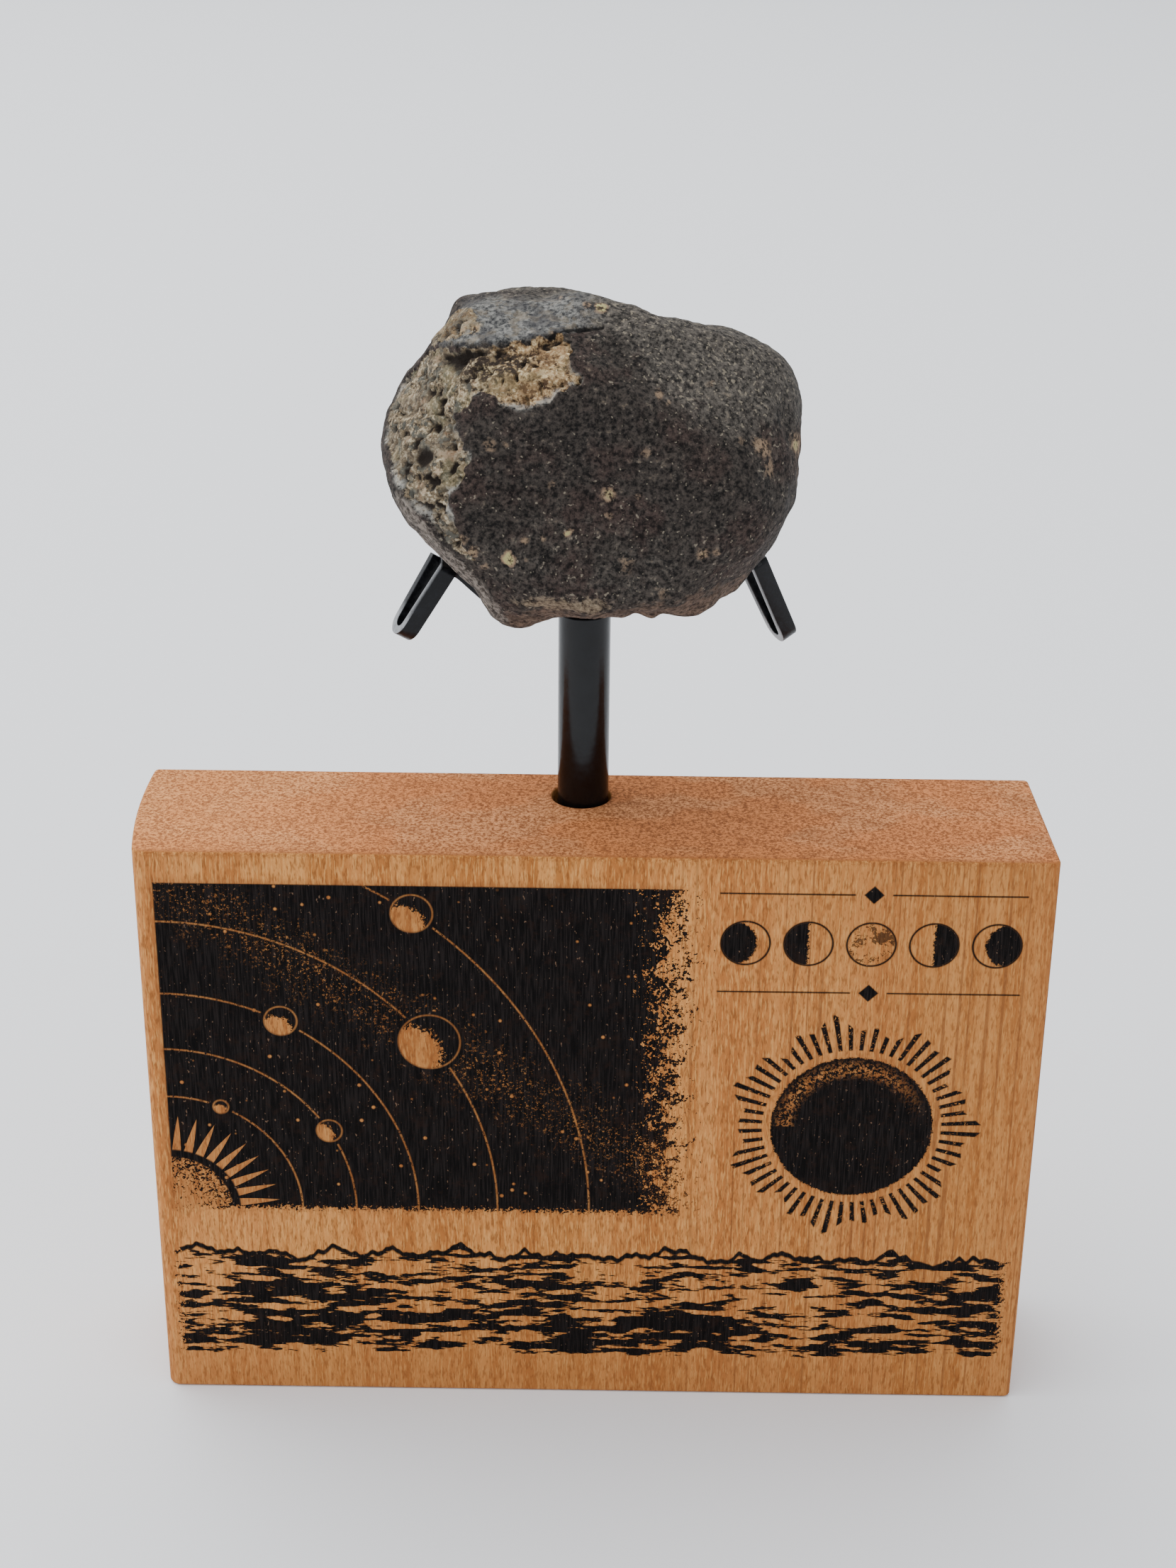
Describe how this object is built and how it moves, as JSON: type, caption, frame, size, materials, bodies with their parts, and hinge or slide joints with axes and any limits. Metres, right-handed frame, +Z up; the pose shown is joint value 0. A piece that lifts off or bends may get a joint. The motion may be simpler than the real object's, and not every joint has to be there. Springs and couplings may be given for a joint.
{
  "type": "chondrite meteorite",
  "caption": "Rounded blocky chondrite with dark crust and a broken pale patch, resting on the prongs of a black rod stand set in an upright wooden block with a charred decorative panel.",
  "frame": {"origin": "centre of the wooden block's underside", "axes": "+Z up along the rod; the block's long front face looks along -Y; +X to the viewer's right"},
  "size_m": [0.1062, 0.037, 0.1354],
  "materials": {
    "meteorite": "matt dark fusion crust, grey-brown with pale speckles, and a rough cream and olive broken patch",
    "wood": "bare planed wood with a charred, laser-etched decorative panel on the front",
    "black_rod": "gloss black",
    "black_steel": "semi-gloss black with satin cut edges"
  },
  "bodies": {
    "root": {"meteorite": "meteorite", "wood_block": "wood", "post": "black_rod", "hub": "black_steel", "arm_left": "black_steel", "arm_right": "black_steel", "arm_back": "black_steel"}
  },
  "joints": []
}
